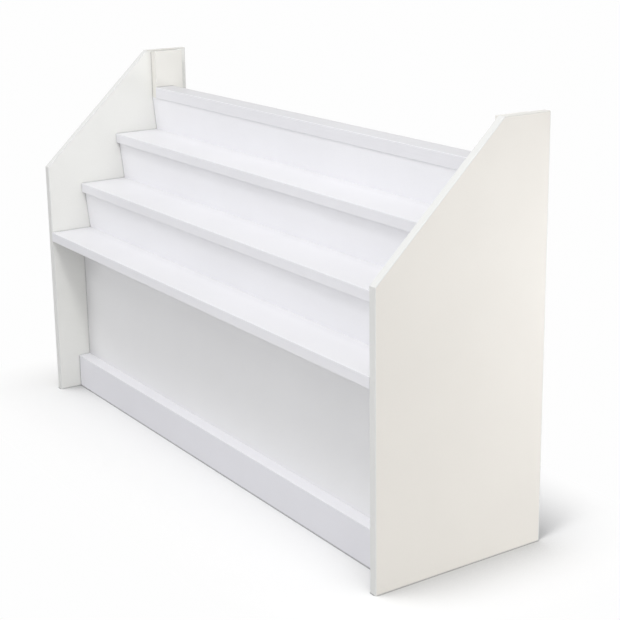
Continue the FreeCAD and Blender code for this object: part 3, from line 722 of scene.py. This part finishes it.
def solids_of(node: str) -> list[Solid]:
    """Measure the separate solids of a CAD node.

    Args:
        node: The node's name.

    Returns:
        The boxes of the solids, in the order of the node's mesh.
    """
    work = bmesh.new()
    work.from_mesh(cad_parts[node].data)
    bmesh.ops.remove_doubles(work, verts=work.verts, dist=SAME_POINT)
    work.verts.index_update()
    found = []
    seen: set[int] = set()
    for start in work.verts:
        if start.index in seen:
            continue
        seen.add(start.index)
        queue = [start]
        points = []
        while queue:
            vert = queue.pop()
            points.append(vert.co.copy())
            for edge in vert.link_edges:
                other = edge.other_vert(vert)
                if other.index not in seen:
                    seen.add(other.index)
                    queue.append(other)
        low = Vector(min(point[axis] for point in points) for axis in range(3))
        high = Vector(max(point[axis] for point in points) for axis in range(3))
        found.append(Solid(low, high))
    work.free()
    return found


def turned(
    work: bmesh.types.BMesh, profile: list[tuple[float, float]], facets: int
) -> list[bmesh.types.BMVert]:
    """Turn a profile about Z.

    Args:
        work: The mesh to add to.
        profile: Radius and height of each ring. A last radius of 0 makes a point.
        facets: How many sides the rings have.

    Returns:
        The first ring, which is left open.
    """
    rings = []
    for radius, height in profile:
        if radius == 0.0:
            rings.append([work.verts.new((0.0, 0.0, height))] * facets)
            continue
        ring = []
        for step in range(facets):
            angle = math.tau * step / facets
            corner = (radius * math.cos(angle), radius * math.sin(angle), height)
            ring.append(work.verts.new(corner))
        rings.append(ring)
    for ring, following in zip(rings, rings[1:]):
        for step in range(facets):
            after = (step + 1) % facets
            corners = [ring[step], ring[after], following[after], following[step]]
            work.faces.new(list(dict.fromkeys(corners)))
    return rings[0]


def new_piece(
    name: str,
    single: bmesh.types.BMesh,
    places: list[Matrix],
    material: bpy.types.Material,
    replaced: str,
) -> None:
    """Make one object of equal pieces that stands for a CAD node.

    Args:
        name: The object's name.
        single: The mesh of one piece, which is freed.
        places: Where each piece goes.
        material: What the pieces are made of.
        replaced: The CAD node that the object stands for.
    """
    bmesh.ops.recalc_face_normals(single, faces=single.faces)
    pattern = bpy.data.meshes.new(f"{name}_pattern")
    single.to_mesh(pattern)
    single.free()
    work = bmesh.new()
    for place in places:
        before = len(work.verts)
        work.from_mesh(pattern)
        work.verts.ensure_lookup_table()
        bmesh.ops.transform(work, matrix=place, verts=work.verts[before:])
    mesh = bpy.data.meshes.new(name)
    work.to_mesh(mesh)
    work.free()
    bpy.data.meshes.remove(pattern)
    mesh.materials.append(material)
    mesh.shade_smooth()
    mesh.set_sharp_from_angle(angle=CREASE_ANGLE)
    piece = bpy.data.objects.new(name, mesh)
    bpy.context.scene.collection.objects.link(piece)
    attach(piece, BODY)
    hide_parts(replaced)
    log.info("%s: %d of them", name, len(places))


@dataclass
class SidePanels:
    """The two side panels, their edging strips and the cheeks at their top."""

    slope_run: float = 310 * MM
    slope_rise: float = 290 * MM

    def build(self) -> None:
        """Dress both ends of the stand."""
        facing = CREAM_FACING.material()
        cheek = CHEEK_FACING.material()
        slope_turn = -math.atan2(self.slope_rise, self.slope_run)
        strips = {
            "front": EdgingStrip("front_strip", SIDE_EDGING_TONE, (0.0, 0.0, 1.0)),
            "rear": EdgingStrip("rear_strip", SIDE_EDGING_TONE, (0.0, 0.0, 1.0)),
            "top": EdgingStrip("top_strip", TOP_EDGING_TONE, (0.0, 1.0, 0.0)),
            "slope": EdgingStrip("slope_strip", SIDE_EDGING_TONE, (0.0, 1.0, 0.0), slope_turn),
        }
        made = {place: strip.material() for place, strip in strips.items()}
        for side in Side:
            dress(f"side_panel_{side.value}", facing)
            dress(f"top_cheek_{side.value}", cheek)
            for place, material in made.items():
                dress(f"{place}_edging_{side.value}", material)


@dataclass
class Steps:
    """The three shelves with the leaning risers between them, and the ledge over them."""

    def build(self, edging: bpy.types.Material) -> None:
        """Dress each step and the ledge.

        Args:
            edging: The material of the strips on the front edges.
        """
        shelf = SHELF_FACING.material()
        riser = RISER_FACING.material()
        for tier in Tier:
            dress(f"shelf_{tier.value}", shelf)
            dress(f"riser_{tier.value}", riser)
            dress(f"edging_shelf_{tier.value}", edging)
        dress("top_ledge", LEDGE_FACING.material())
        dress("edging_ledge", edging)


@dataclass
class Carcass:
    """The recessed front with its plinth, and the boards that carry the shelves behind it."""

    inner_boards: tuple[str, ...] = ("front_panel", "centre_support", "rear_stretcher")

    def build(self, edging: bpy.types.Material) -> None:
        """Dress the boards and the plinth's strip.

        Args:
            edging: The material of the strip.
        """
        panel = PANEL_FACING.material()
        for board in self.inner_boards:
            dress(board, panel)
        dress("plinth", PLINTH_FACING.material())
        dress("edging_plinth", edging)


@dataclass
class WoodScrews:
    """Countersunk screws with a cross recess, one in the place of each screw of the model."""

    head_width: float = 8.0 * MM
    shank_width: float = 4.0 * MM
    point_length: float = 4.0 * MM
    arm_reach: float = 2.3 * MM
    arm_width: float = 1.1 * MM
    recess_depth: float = 2.0 * MM
    recess_foot: float = 0.5
    quarter_turns: int = 4
    turn_step: float = 0.7
    facets: int = 32

    def cross(self, share: float, height: float) -> list[Vector]:
        """Return the corners of the cross recess at one height.

        Args:
            share: The cross's size there, as a share of its full size.
            height: How far below the top of the head it is.

        Returns:
            The corners, in order round the cross.
        """
        reach = self.arm_reach * share
        half = self.arm_width * share / 2
        arm = [Vector((x, y, height)) for x, y in ((reach, -half), (reach, half), (half, half))]
        corners = []
        for turn in range(self.quarter_turns):
            quarter = Matrix.Rotation(math.tau * turn / self.quarter_turns, 3, "Z")
            corners += [quarter @ corner for corner in arm]
        return corners

    def add_head(self, work: bmesh.types.BMesh, rim: list[bmesh.types.BMVert]) -> None:
        """Close the head inside its rim, with the recess sunk into it.

        Args:
            work: The screw's mesh.
            rim: The ring of points round the head.
        """
        mouth = [work.verts.new(corner) for corner in self.cross(1.0, 0.0)]
        foot = [work.verts.new(corner) for corner in self.cross(self.recess_foot, self.recess_depth)]
        for index, vert in enumerate(mouth):
            after = (index + 1) % len(mouth)
            work.faces.new([vert, mouth[after], foot[after], foot[index]])
        work.faces.new(foot)
        edges = []
        for loop in (rim, mouth):
            for index, vert in enumerate(loop):
                pair = (vert, loop[(index + 1) % len(loop)])
                edges.append(work.edges.get(pair) or work.edges.new(pair))
        bmesh.ops.triangle_fill(work, use_beauty=True, use_dissolve=False, edges=edges)

    def build(self, zinc: bpy.types.Material) -> None:
        """Build the screws.

        Args:
            zinc: The material of the screws.
        """
        solids = solids_of("wood_screws")
        lengths = [max((solid.length(axis), axis) for axis in range(3)) for solid in solids]
        length = lengths[0][0]
        shank = self.shank_width / 2
        head = self.head_width / 2
        point = length - self.point_length
        profile = [(head, 0.0), (shank, head - shank), (shank, point), (0.0, length)]
        single = bmesh.new()
        self.add_head(single, turned(single, profile, self.facets))
        places = []
        for index, (solid, (_, axis)) in enumerate(zip(solids, lengths)):
            turn = Matrix.Rotation(self.turn_step * index, 4, "Z")
            places.append(solid.seat(axis, outer=True) @ turn)
        new_piece("cross_head_screws", single, places, zinc, "wood_screws")


@dataclass
class CamCaps:
    """Push-in caps over the cams, with a softened rim and a shallow dish."""

    rim: float = 0.45 * MM
    rim_round: float = 0.3
    dish_width: float = 5.2 * MM
    dish_depth: float = 0.25 * MM
    dish_slope: float = 2.0
    facets: int = 40

    def build(self, plastic: bpy.types.Material) -> None:
        """Build the caps.

        Args:
            plastic: The material of the caps.
        """
        solids = solids_of("cam_caps")
        plates = [min((solid.length(axis), axis) for axis in range(3)) for solid in solids]
        plate = plates[0][0]
        radius = solids[0].length(0) / 2
        dish = self.dish_width / 2
        profile = [
            (radius, 0.0),
            (radius, self.rim - plate),
            (radius - self.rim * self.rim_round, self.rim * self.rim_round - plate),
            (radius - self.rim, -plate),
            (dish + self.dish_depth * self.dish_slope, -plate),
            (dish, self.dish_depth - plate),
            (0.0, self.dish_depth - plate),
        ]
        single = bmesh.new()
        single.faces.new(turned(single, profile, self.facets))
        places = [solid.seat(axis, outer=False) for solid, (_, axis) in zip(solids, plates)]
        new_piece("dished_caps", single, places, plastic, "cam_caps")


@dataclass
class Fittings:
    """The cam fittings, their caps, the screws and the dowels."""

    def build(self) -> None:
        """Dress or build the fittings."""
        zinc = ZincPlate("zinc_plate").material()
        plastic = MouldedCap("cap_plastic").material()
        dress("cam_bolts", zinc)
        dress("cam_housings", zinc)
        dress("dowels", BeechDowel("beech").material())
        WoodScrews().build(zinc)
        CamCaps().build(plastic)


@dataclass(frozen=True)
class StudioFloor(Finish):
    """A pale floor that keeps the stand's shadow, adds painted shadow round its foot and fades to
    plain white away from it.
    """

    half_length: float
    half_depth: float
    tone: Colour = (0.94, 0.94, 0.94)
    bounce_tone: Colour = (0.64, 0.64, 0.64)
    white: Colour = (0.99, 0.99, 0.99)
    fade: float = 0.28
    roughness: float = 0.9
    painted_shades: tuple[PaintedShade, ...] = (FOOT_SHADE, LEE_SHADE, FLOOR_CONTACT_PAINTED_SHADE)

    def shade(self, graph: Graph) -> Value:
        """Return the floor's shader.

        Args:
            graph: The node tree to add to.

        Returns:
            The shader.
        """
        camera_ray = graph.node("ShaderNodeLightPath")["Is Camera Ray"]
        place = graph.node("ShaderNodeSeparateXYZ", None, {"Vector": graph.position()})
        aside = (place["X"].size() - self.half_length).larger(0.0)
        ahead = (place["Y"].size() - self.half_depth).larger(0.0)
        far = (aside * aside + ahead * ahead).root().between(0.0, self.fade)
        # Painted shadow round the stand's foot, in the colour that only the camera sees.
        seen: ColourTerm = self.tone
        for painted_shade in self.painted_shades:
            seen = painted_shade.over(graph, seen)
        tone = graph.mix(camera_ray, self.bounce_tone, seen)
        paint = graph.surface(Base_Color=tone, Roughness=self.roughness)
        glow = graph.node("ShaderNodeEmission", None, {"Color": self.white, "Strength": 1.0})
        inputs = {"Fac": camera_ray * far, "Shader": paint, "Shader_001": glow["Emission"]}
        return graph.node("ShaderNodeMixShader", None, inputs)["Shader"]


@dataclass(frozen=True)
class Softbox:
    """A large soft lamp that shines at a point."""

    name: str
    place: Triple
    target: Triple
    width: float
    height: float
    power: float

    def build(self) -> None:
        """Hang the lamp."""
        data = bpy.data.lights.new(self.name, "AREA")
        data.shape = "RECTANGLE"
        data.size = self.width
        data.size_y = self.height
        data.energy = self.power
        lamp = bpy.data.objects.new(self.name, data)
        lamp.location = self.place
        aim = Vector(self.target) - Vector(self.place)
        lamp.rotation_euler = aim.to_track_quat("-Z", "Y").to_euler()
        lamp.visible_camera = False
        bpy.context.scene.collection.objects.link(lamp)


@dataclass(frozen=True)
class StudioCamera:
    """The camera, off the stand's right front and looking slightly down on it."""

    place: Triple = (2.825, -1.7382, 1.3582)
    yaw: float = 0.9842
    pitch: float = 0.2559
    roll: float = -0.014
    lens: float = 83.56
    sensor: float = 36.0
    shift_up: float = -0.0806

    def build(self) -> None:
        """Make the camera and choose it for the scene."""
        data = bpy.data.cameras.new("studio_camera")
        data.sensor_width = self.sensor
        data.lens = self.lens
        data.shift_y = self.shift_up
        camera = bpy.data.objects.new("studio_camera", data)
        level = Matrix.Rotation(math.pi / 2 - self.pitch, 4, "X")
        turn = Matrix.Rotation(self.yaw, 4, "Z")
        roll = Matrix.Rotation(self.roll, 4, "Z")
        camera.matrix_world = Matrix.Translation(self.place) @ turn @ level @ roll
        bpy.context.scene.collection.objects.link(camera)
        bpy.context.scene.camera = camera


STAND_MIDDLE = (0.0, 0.0, 0.5)
RIGHT_END = (0.75, 0.1, 0.25)


@dataclass
class Studio:
    """The floor, the white surround, the lamps and the camera."""

    floor_reach: float = 14.0
    floor_facets: int = 96
    surround: float = 0.578
    backdrop: float = 0.99
    lamps: tuple[Softbox, ...] = (
        Softbox("key_lamp", (1.18, -1.55, 4.55), STAND_MIDDLE, 0.8, 0.8, 74.0),
        Softbox("left_fill", (-1.45, -2.50, 3.95), STAND_MIDDLE, 1.6, 1.6, 23.5),
        Softbox("side_fill", (7.70, 0.0, 3.60), STAND_MIDDLE, 5.0, 5.0, 106.0),
        Softbox("front_fill", (1.49, -4.08, 1.67), STAND_MIDDLE, 3.0, 3.0, 19.6),
        Softbox("rear_side_lamp", (1.62, 1.22, 0.22), RIGHT_END, 0.9, 0.9, 9.0),
    )

    def build_floor(self) -> None:
        """Lay the floor."""
        mesh = bpy.data.meshes.new("studio_floor")
        work = bmesh.new()
        disc = {"cap_ends": True, "radius": self.floor_reach, "segments": self.floor_facets}
        bmesh.ops.create_circle(work, **disc)
        work.to_mesh(mesh)
        work.free()
        floor = bpy.data.objects.new("studio_floor", mesh)
        _, corner = CAD_BOX
        mesh.materials.append(StudioFloor("floor_paint", corner.x, corner.y).material())
        bpy.context.scene.collection.objects.link(floor)

    def build_surround(self) -> None:
        """Light the stand evenly from all round, with plain white behind it."""
        world = bpy.data.worlds.new("surround")
        world.use_nodes = True
        bpy.context.scene.world = world
        graph = Graph(world.node_tree)
        path = graph.node("ShaderNodeLightPath")
        seen = path["Is Camera Ray"].larger(path["Is Glossy Ray"])
        seen = seen.larger(path["Is Transmission Ray"])
        strength = seen * (self.backdrop - self.surround) + self.surround
        inputs = {"Color": (1.0, 1.0, 1.0), "Strength": strength}
        light = graph.node("ShaderNodeBackground", None, inputs)
        graph.node("ShaderNodeOutputWorld", None, {"Surface": light["Background"]})

    def build(self) -> None:
        """Set up the whole studio."""
        bpy.context.scene.view_settings.view_transform = "Standard"
        self.build_floor()
        self.build_surround()
        for lamp in self.lamps:
            lamp.build()
        StudioCamera().build()


def main() -> None:
    """Dress the stand and set up the studio."""
    logging.basicConfig(level=logging.INFO, format="%(name)s: %(message)s")
    edging = SHELF_EDGING.material()
    SidePanels().build()
    Steps().build(edging)
    Carcass().build(edging)
    Fittings().build()
    Studio().build()


if __name__ == "__main__":
    main()
